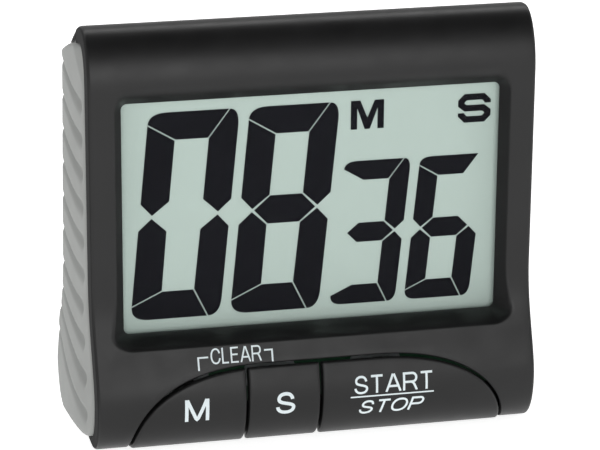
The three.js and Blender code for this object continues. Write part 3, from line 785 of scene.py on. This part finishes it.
def lettering(text, x0, x1, z0, z1, stroke, slant=0.0, spacing=0.12):
    """Plain sans-serif lettering fitted into a box of x and z, as a thin closed solid."""
    total = sum(LETTERS[c][0] for c in text) + spacing * (len(text) - 1)
    scale = (x1 - x0 - slant * (z1 - z0)) / total
    loops, at = [], x0
    for character in text:
        width, lines = LETTERS[character]
        for line in lines:
            middle = polyline(*line)
            z = z0 + stroke / 2 + middle[:, 1] * (z1 - z0 - stroke)
            x = at + stroke / 2 + middle[:, 0] * (width * scale - stroke) + slant * (z - z0)
            shape = np.clip(stroke_path(np.stack([x, z], 1), stroke), (-99, z0), (99, z1))
            loops.append(shape)
        at += (width + spacing) * scale
    return united(loops)


def united(loops):
    """Flat outlines merged into one thin closed solid."""

    def keep(centres):
        return np.any([winding(centres, loop) for loop in loops], axis=0)

    flat, triangles = triangulate(np.zeros((0, 2)), loops, keep)
    work = bmesh.new()
    verts = [work.verts.new((x, z, 0)) for x, z in flat]
    for triangle in triangles:
        work.faces.new([verts[i] for i in triangle])
    bmesh.ops.delete(work, geom=[v for v in work.verts if not v.link_faces], context="VERTS")
    return finish_slab(work, 0.04)


def winding(points, loop):
    """Which points a closed outline winds round, even where it crosses itself."""
    a, b = loop, np.roll(loop, -1, 0)
    x, y = points[:, :1], points[:, 1:]
    side = (b[:, 0] - a[:, 0]) * (y - a[:, 1]) - (x - a[:, 0]) * (b[:, 1] - a[:, 1])
    up = (a[:, 1] <= y) & (b[:, 1] > y) & (side > 0)
    down = (a[:, 1] > y) & (b[:, 1] <= y) & (side < 0)
    return (up.sum(1) - down.sum(1)) != 0


def band(x0, x1, z0, z1):
    """A printed stroke."""
    return slab([(x0, z0), (x1, z0), (x1, z1), (x0, z1)])


# ---------------------------------------------------------------- display
SLANT = 0.095
DIGIT_FORWARD = -1.05


def rounded_path(points, radii, steps=8):
    """A closed outline whose corners are rounded by each corner's own radius."""
    result = []
    count = len(points)
    for i in range(count):
        before, here, after = (np.array(points[(i + k) % count], float) for k in (-1, 0, 1))
        if radii[i] <= 0:
            result.append(here)
            continue
        back, ahead = np.linalg.norm(before - here), np.linalg.norm(after - here)
        start = here + (before - here) / back * min(radii[i], 0.97 * back)
        end = here + (after - here) / ahead * min(radii[i], 0.97 * ahead)
        for t in np.linspace(0, 1, steps):
            pull = here * 0.92 + (start + end) * 0.04
            result.append((1 - t) ** 2 * start + 2 * t * (1 - t) * pull + t**2 * end)
    return np.array(result)


def shrunk(loop, distance):
    """A polygon with every side moved inwards."""
    count = len(loop)
    following = np.roll(loop, -1, axis=0)
    area = np.sum(loop[:, 0] * following[:, 1] - following[:, 0] * loop[:, 1])
    sign = 1 if area > 0 else -1
    result = []
    for i in range(count):
        a, b, c = loop[i - 1], loop[i], loop[(i + 1) % count]
        d0 = (b - a) / np.linalg.norm(b - a)
        d1 = (c - b) / np.linalg.norm(c - b)
        n0 = sign * np.array([-d0[1], d0[0]])
        n1 = sign * np.array([-d1[1], d1[0]])
        both = n0 + n1
        result.append(b + both * distance / max(0.5, 1 + n0 @ n1))
    return np.array(result)


def digit_segments(width, height, stroke, lower_stroke):
    """The seven segments of an upright digit, by name, before it leans."""
    w, h, t, q = width, height, stroke, lower_stroke
    unit = h / 35.4
    mid = h / 2 + 0.05 * unit
    left_top, right_top = h - 2.05 * unit, w - 1.7 * unit
    left_low, right_low = 2.45 * unit, w - 2.1 * unit
    r = 2.9 * unit
    shoulder, inner = 2.25 * unit, 2.5 * unit
    tip = 2.1 * unit
    point = 2.3 * unit
    above, below = mid + 0.12 * unit, mid - 0.12 * unit
    return {
        "a": ([(0, left_top), (t, h - t), (w - t, h - t), (right_top, h), (0, h)], [0, 0, 0, 0, r]),
        "b": (
            [
                (right_top, h),
                (w - t, h - t),
                (w - t, mid + inner),
                (w - tip, above),
                (w, mid + shoulder),
                (w, h),
            ],
            [0, 0, 0, 0, 0, r],
        ),
        "c": (
            [
                (w, mid - shoulder),
                (w - tip, below),
                (w - t, mid - inner),
                (w - q, q),
                (right_low, 0),
                (w, 0),
            ],
            [0, 0, 0, 0, 0, r],
        ),
        "d": ([(right_low, 0), (w - q, q), (q, q), (0, left_low), (0, 0)], [0, 0, 0, 0, r]),
        "e": (
            [(0, left_low), (q, q), (t, mid - inner), (tip, below), (0, mid - shoulder)],
            [0, 0, 0, 0, 0],
        ),
        "f": (
            [(0, mid + shoulder), (tip, above), (t, mid + inner), (t, h - t), (0, left_top)],
            [0, 0, 0, 0, 0],
        ),
        "g": (
            [
                (point, mid),
                (t, mid - inner),
                (w - t, mid - inner),
                (w - point, mid),
                (w - t, mid + inner),
                (t, mid + inner),
            ],
            [0, 0, 0, 0, 0, 0],
        ),
    }


LIT = {"0": "abcdef", "8": "abcdefg", "3": "abcdg", "6": "acdefg"}


def digit(character, x, z, width, height, stroke, lower_stroke, gap=0.11):
    """One digit's lit segments as flat outlines in the display's own coordinates."""
    outlines = []
    for name in LIT[character]:
        corners, radii = digit_segments(width, height, stroke, lower_stroke)[name]
        loop = shrunk(rounded_path(corners, radii), gap)
        outlines.append(np.stack([x + loop[:, 0] + SLANT * loop[:, 1], z + loop[:, 1]], 1))
    return outlines


def display_letters():
    """The two small letters above the seconds."""
    x, z, w, h, t = 37.55, 32.5, 5.5, 4.85, 1.05
    m = [(0, 0), (0, h), (1.55, h), (w / 2, 1.9), (w - 1.55, h), (w, h), (w, 0), (w - t, 0)]
    m += [(w - t, h - 1.3), (w / 2 + 0.42, 0), (w / 2 - 0.42, 0), (t, h - 1.3), (t, 0)]
    letter_m = np.array(m) + (x, z)
    x = 55.5
    c = 0.75
    low, mid, high = t / 2, h / 2, h - t / 2
    left, right = t / 2, w - t / 2
    path = [(right, high - 1.1), (right, high - c), (right - c, high), (left + c, high), (left, high - c)]
    path += [(left, mid + c * 0.8), (left + c, mid), (right - c, mid), (right, mid - c * 0.8)]
    path += [(right, low + c), (right - c, low), (left + c, low), (left, low + c), (left, low + 1.1)]
    letter_s = stroke_path(path, t) + (x, z)
    return [letter_m, letter_s]


def display_segments():
    """Everything the display shows, as thin plates behind the lens."""
    loops = []
    for column, character in enumerate("08"):
        loops += digit(character, 0.97 + 16.5 * column, 2.05, 15.05, 35.4, 4.85, 4.95)
    for column, character in enumerate("36"):
        loops += digit(character, 34.2 + 12.65 * column, 2.25, 11.3, 24.95, 3.5, 3.5)
    loops += display_letters()
    shift = np.array([-WINDOW_HALF_WIDTH + 0.21, WINDOW_LOW - 0.38])
    parts = []
    for loop in loops:
        flat, triangles = as_triangles(flat_face(loop + shift))
        upper = to_metres(flat[:, 0], np.full(len(flat), DIGIT_FORWARD + 0.025), flat[:, 1])
        lower = to_metres(flat[:, 0], np.full(len(flat), DIGIT_FORWARD - 0.025), flat[:, 1])
        parts.append(closed_sheet(upper, lower, triangles))
    return new_mesh("display_digits", *merged(parts), sharp=30)


# ---------------------------------------------------------------- key domes
def key_dome(name, x):
    """A hollow rubber dome on a flange, turned about its own middle."""
    high = DOME_TOP - DOME_BASE
    profile = [(0, high), (1.9, high), (2.25, high - 0.12), (2.4, high - 0.4), (2.75, 1.25)]
    profile += [(3.1, 0.95), (3.6, 0.75), (4.25, 0.7), (4.4, 0.55), (4.4, 0.0)]
    profile += [(3.1, 0.0), (2.5, 0.4), (1.9, high - 1), (0, high - 1)]
    return turned(name, profile, x, DOME_Z, DOME_BASE, 40)


def turned(name, profile, x, z, forward, sides, sharp=50.0):
    """A closed piece turned about a line along Y, from points of radius and height."""
    points, faces, rings = [], [], []
    for radius, up in profile:
        ring = []
        for k in range(sides if radius > 0 else 1):
            angle = 2 * math.pi * k / sides
            ring.append(len(points))
            points.append((x + radius * math.cos(angle), forward + up, z + radius * math.sin(angle)))
        rings.append(ring)
    for a, b in zip(rings, rings[1:]):
        for k in range(sides):
            following = (k + 1) % sides
            if len(a) == 1:
                faces.append((a[0], b[k], b[following]))
            elif len(b) == 1:
                faces.append((a[k], b[0], a[following]))
            else:
                faces.append((a[k], b[k], b[following], a[following]))
    return new_mesh(name, to_metres(*np.array(points).T), faces, sharp)


# ---------------------------------------------------------------- materials
def shader(name):
    material = bpy.data.materials.new(name)
    material.use_nodes = True
    return material, material.node_tree, material.node_tree.nodes["Principled BSDF"]


def add_noise(tree, scale, detail, stretch=(1, 1, 1)):
    where = tree.nodes.new("ShaderNodeTexCoord")
    mapping = tree.nodes.new("ShaderNodeMapping")
    mapping.inputs["Scale"].default_value = stretch
    noise = tree.nodes.new("ShaderNodeTexNoise")
    noise.inputs["Scale"].default_value = scale
    noise.inputs["Detail"].default_value = detail
    tree.links.new(where.outputs["Object"], mapping.inputs["Vector"])
    tree.links.new(mapping.outputs["Vector"], noise.inputs["Vector"])
    return noise.outputs["Fac"]


def between(tree, factor, low, high):
    ramp = tree.nodes.new("ShaderNodeMapRange")
    ramp.inputs["From Min"].default_value = 0.3
    ramp.inputs["From Max"].default_value = 0.7
    ramp.inputs["To Min"].default_value = low
    ramp.inputs["To Max"].default_value = high
    tree.links.new(factor, ramp.inputs["Value"])
    return ramp.outputs["Result"]


def mixed(tree, factor, low, high):
    ramp = tree.nodes.new("ShaderNodeValToRGB")
    ramp.color_ramp.elements[0].position = 0.3
    ramp.color_ramp.elements[1].position = 0.7
    ramp.color_ramp.elements[0].color = (*low, 1)
    ramp.color_ramp.elements[1].color = (*high, 1)
    tree.links.new(factor, ramp.inputs["Fac"])
    return ramp.outputs["Color"]


def rougher_sides(tree, gloss, roughness):
    """Roughness that rises where the surface faces sideways, as on drafted walls left unpolished."""
    where = tree.nodes.new("ShaderNodeTexCoord")
    split = tree.nodes.new("ShaderNodeSeparateXYZ")
    size = tree.nodes.new("ShaderNodeMath")
    size.operation = "ABSOLUTE"
    ramp = tree.nodes.new("ShaderNodeMapRange")
    ramp.inputs["From Min"].default_value = 0.6
    ramp.inputs["From Max"].default_value = 0.95
    ramp.inputs["To Max"].default_value = roughness
    tree.links.new(where.outputs["Normal"], split.inputs["Vector"])
    tree.links.new(split.outputs["X"], size.inputs[0])
    tree.links.new(size.outputs[0], ramp.inputs["Value"])
    tree.links.new(gloss, ramp.inputs["To Min"])
    return ramp.outputs["Result"]


def moulded(
    name,
    colour,
    roughness,
    grain=4500,
    bump=0.02,
    vary=0.12,
    metallic=0.0,
    specular=0.5,
    stretch=(1, 1, 1),
    side_texture=None,
):
    """A surface with a fine grain in relief, and slow drifts of tone and gloss."""
    material, tree, shade = shader(name)
    tone = add_noise(tree, 90, 3)
    low = tuple(c * (1 - vary) for c in colour)
    high = tuple(min(1, c * (1 + vary)) for c in colour)
    tree.links.new(mixed(tree, tone, low, high), shade.inputs["Base Color"])
    gloss = between(tree, add_noise(tree, 260, 4), roughness - 0.04, roughness + 0.04)
    if side_texture:
        gloss = rougher_sides(tree, gloss, side_texture)
    tree.links.new(gloss, shade.inputs["Roughness"])
    relief = tree.nodes.new("ShaderNodeBump")
    relief.inputs["Strength"].default_value = 0.5
    relief.inputs["Distance"].default_value = bump * MM
    tree.links.new(add_noise(tree, grain, 2, stretch), relief.inputs["Height"])
    tree.links.new(relief.outputs["Normal"], shade.inputs["Normal"])
    shade.inputs["Metallic"].default_value = metallic
    shade.inputs["Specular IOR Level"].default_value = specular
    return material


def clear_sheet(name, colour, alpha, roughness):
    """A clear plate: mostly see-through, with the gloss of its surface."""
    material, tree, shade = shader(name)
    tone = add_noise(tree, 60, 2)
    darker = tuple(c * 0.96 for c in colour)
    tree.links.new(mixed(tree, tone, colour, darker), shade.inputs["Base Color"])
    haze = add_noise(tree, 400, 3)
    tree.links.new(between(tree, haze, roughness, roughness + 0.03), shade.inputs["Roughness"])
    shade.inputs["Alpha"].default_value = alpha
    return material


MATERIALS = {
    "shell_black": moulded(
        "shell_black", (0.0085, 0.0085, 0.0087), 0.38, 5200, 0.016, 0.1, specular=0.33, side_texture=0.95
    ),
    "button_black": moulded("button_black", (0.008, 0.008, 0.0082), 0.4, 5600, 0.014, 0.1, specular=0.33),
    "grip_grey": moulded("grip_grey", (0.31, 0.318, 0.308), 0.62, 3800, 0.02, 0.04, specular=0.35),
    "lens_clear": clear_sheet("lens_clear", (0.05, 0.055, 0.055), 0.02, 0.04),
    "lcd_glass": clear_sheet("lcd_glass", (0.7, 0.78, 0.74), 0.2, 0.03),
    "polariser": moulded("polariser", (0.45, 0.545, 0.5), 0.6, 9000, 0.002, 0.012, specular=0.15),
    "reflector": moulded("reflector", (0.62, 0.64, 0.62), 0.35, 9000, 0.004, 0.05, metallic=0.9),
    "holder_white": moulded("holder_white", (0.72, 0.72, 0.7), 0.5, 3000, 0.02, 0.04),
    "elastomer": moulded("elastomer", (0.5, 0.36, 0.4), 0.6, 3000, 0.01, 0.3, stretch=(12, 1, 1)),
    "silicone": moulded("silicone", (0.33, 0.35, 0.36), 0.5, 2600, 0.02, 0.06),
    "board_green": moulded("board_green", (0.016, 0.085, 0.035), 0.38, 1500, 0.03, 0.3),
    "carbon": moulded("carbon", (0.02, 0.02, 0.02), 0.6, 4000, 0.02, 0.25),
    "epoxy_black": moulded("epoxy_black", (0.014, 0.014, 0.015), 0.3, 900, 0.06, 0.2),
    "component_black": moulded("component_black", (0.03, 0.03, 0.032), 0.5, 3000, 0.02, 0.2),
    "ceramic": moulded("ceramic", (0.75, 0.74, 0.7), 0.45, 2500, 0.02, 0.06),
    "battery_sleeve": moulded("battery_sleeve", (0.05, 0.06, 0.075), 0.32, 2000, 0.01, 0.15),
    "spring_steel": moulded(
        "spring_steel", (0.56, 0.56, 0.58), 0.3, 1500, 0.01, 0.08, 1.0, stretch=(1, 14, 1)
    ),
    "brass": moulded("brass", (0.72, 0.53, 0.24), 0.34, 1500, 0.012, 0.12, 1.0, stretch=(1, 12, 1)),
    "screw_steel": moulded("screw_steel", (0.4, 0.4, 0.41), 0.34, 1800, 0.012, 0.12, 1.0, stretch=(1, 9, 1)),
    "magnet": moulded("magnet", (0.5, 0.5, 0.5), 0.26, 2600, 0.008, 0.1, 1.0),
    "wire_red": moulded("wire_red", (0.38, 0.016, 0.016), 0.42, 2500, 0.01, 0.1),
    "wire_black": moulded("wire_black", (0.015, 0.015, 0.015), 0.42, 2500, 0.01, 0.2),
    "print_white": moulded("print_white", (0.68, 0.75, 0.77), 0.5, 6000, 0.01, 0.05, specular=0.3),
    "display_ink": moulded("display_ink", (0.006, 0.006, 0.0085), 0.6, 6000, 0.002, 0.08, specular=0.03),
}


def paint(obj, name):
    obj.data.materials.clear()
    obj.data.materials.append(MATERIALS[name])


def place_piece(obj, body, material, nodes=()):
    """Puts a finished piece on its body, with its finish and the CAD nodes it stands for."""
    paint(obj, material)
    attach(obj, body)
    if nodes:
        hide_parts(*nodes)


def add_print():
    clear = [
        lettering("CLEAR", -17.8, -9.4, 15.2, 17.6, 0.25),
        band(-20.0, -18.2, 16.2, 16.45),
        band(-20.0, -19.72, 14.4, 16.2),
        band(-8.9, -7.45, 16.65, 16.9),
        band(-7.73, -7.45, 14.95, 16.65),
    ]
    place_piece(print_height("print_clear", merged(clear), 0), "case", "print_white")
    minutes = lettering("M", -22.5, -18.5, 6.2, 10.15, 0.57)
    place_piece(print_height("print_m", minutes, BUTTON_PROUD), "button_m", "print_white")
    seconds = lettering("S", -7.4, -4.2, 6.3, 10.1, 0.57)
    place_piece(print_height("print_s", seconds, BUTTON_PROUD), "button_s", "print_white")
    start_stop = [
        lettering("START", 5.7, 19.1, 8.7, 11.7, 0.37),
        band(5.1, 19.2, 8.12, 8.36),
        lettering("STOP", 6.4, 17.9, 5.0, 7.5, 0.36, 0.3),
    ]
    place_piece(
        print_height("print_start_stop", merged(start_stop), BUTTON_PROUD), "button_start_stop", "print_white"
    )


# ---------------------------------------------------------------- putting it together
def dress_cad_nodes():
    """Every CAD node that stays takes the procedural finish of its own slot."""
    for obj in NODES.values():
        for entry in obj.material_slots:
            slot = entry.material.name.split(".")[0]
            entry.material = MATERIALS[slot]


dress_cad_nodes()
place_piece(front_shell(), "case", "shell_black", ["front_shell"])
for name, node, joint, dome, low, high, stem_x in BUTTONS:
    place_piece(button(name, low, high, stem_x), node, "button_black", [node])
    rubber = key_dome("rubber_" + dome, stem_x)
    place_piece(rubber, "case", "silicone", [dome])
    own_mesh(rubber)
for side, node in ((-1, "left_grip"), (1, "right_grip")):
    place_piece(grip(node + "_rubber", side), "case", "grip_grey", [node])
place_piece(display_segments(), "case", "display_ink")
door_ribs = finger_ribs("door_ribs", 7.5, (13.4, 14.9, 16.4, 17.9), RIB_PROUD)
place_piece(door_ribs, "battery_door", "shell_black")
stand_ribs = finger_ribs("stand_ribs", 5.5, (33.6, 35.1, 36.6), RIB_PROUD)
place_piece(stand_ribs, "stand", "shell_black")
add_print()


# ---------------------------------------------------------------- camera, floor and light
AZIMUTH = math.radians(-12.9)
ELEVATION = math.radians(19.7)
ROLL = math.radians(0.42)
DISTANCE = 489.0
TARGET = Vector((-1.93, DISPLAY_Y, 36.16))


def add_camera():
    back = Vector(
        (
            math.sin(AZIMUTH) * math.cos(ELEVATION),
            -math.cos(AZIMUTH) * math.cos(ELEVATION),
            math.sin(ELEVATION),
        )
    )
    level = Vector((math.cos(AZIMUTH), math.sin(AZIMUTH), 0))
    upright = back.cross(level)
    right = math.cos(ROLL) * level + math.sin(ROLL) * upright
    up = back.cross(right)
    data = bpy.data.cameras.new("camera")
    data.lens = 180.5
    data.sensor_width = 36
    data.clip_start = 0.01
    camera = bpy.data.objects.new("camera", data)
    bpy.context.scene.collection.objects.link(camera)
    turn = Matrix((right, up, back)).transposed().to_4x4()
    camera.matrix_world = Matrix.Translation((TARGET + back * DISTANCE) * MM) @ turn
    bpy.context.scene.camera = camera


def area_light(name, place, aim, size, power):
    data = bpy.data.lights.new(name, "AREA")
    data.shape = "RECTANGLE"
    data.size, data.size_y = size
    data.energy = power
    light = bpy.data.objects.new(name, data)
    bpy.context.scene.collection.objects.link(light)
    light.location = place
    light.rotation_euler = (Vector(aim) - Vector(place)).to_track_quat("-Z", "Y").to_euler()


def add_world():
    """A pale studio: bright round the horizon, darker overhead."""
    world = bpy.data.worlds.new("studio")
    world.use_nodes = True
    tree = world.node_tree
    shade = tree.nodes["Background"]
    where = tree.nodes.new("ShaderNodeTexCoord")
    split = tree.nodes.new("ShaderNodeSeparateXYZ")
    ramp = tree.nodes.new("ShaderNodeValToRGB")
    tree.links.new(where.outputs["Generated"], split.inputs["Vector"])
    tree.links.new(split.outputs["Z"], ramp.inputs["Fac"])
    tree.links.new(ramp.outputs["Color"], shade.inputs["Color"])
    stops = ramp.color_ramp.elements
    stops[0].position, stops[0].color = 0.0, (1, 1, 1, 1)
    stops[1].position, stops[1].color = 0.93, (0.03, 0.03, 0.03, 1)
    for position, level in ((0.45, 1.0), (0.78, 0.1)):
        stop = stops.new(position)
        stop.color = (level, level, level, 1)
    shade.inputs["Strength"].default_value = 0.5
    bpy.context.scene.world = world


def add_floor():
    size = 1.5
    corners = [(-size, -size, 0), (size, -size, 0), (size, size, 0), (-size, size, 0)]
    mesh = bpy.data.meshes.new("floor")
    mesh.from_pydata(corners, [], [(0, 1, 2, 3)])
    floor = bpy.data.objects.new("floor", mesh)
    bpy.context.scene.collection.objects.link(floor)
    material = bpy.data.materials.new("floor_paper")
    material.use_nodes = True
    shade = material.node_tree.nodes["Principled BSDF"]
    shade.inputs["Base Color"].default_value = (0.93, 0.93, 0.93, 1)
    shade.inputs["Roughness"].default_value = 0.9
    shade.inputs["Emission Color"].default_value = (1, 1, 1, 1)
    shade.inputs["Emission Strength"].default_value = 0.78
    mesh.materials.append(material)


add_camera()
add_world()
add_floor()
area_light("front", (-0.1, -1.1, 0.35), (0, 0, 0.03), (1.2, 0.5), 5.0)
area_light("crown", (0.0, 0.3, 0.5), (0, 0, 0.05), (0.9, 0.2), 1.7)
area_light("right", (0.9, -0.35, 0.3), (0, 0, 0.03), (0.5, 0.5), 1.1)
bpy.context.scene.view_settings.view_transform = "Standard"
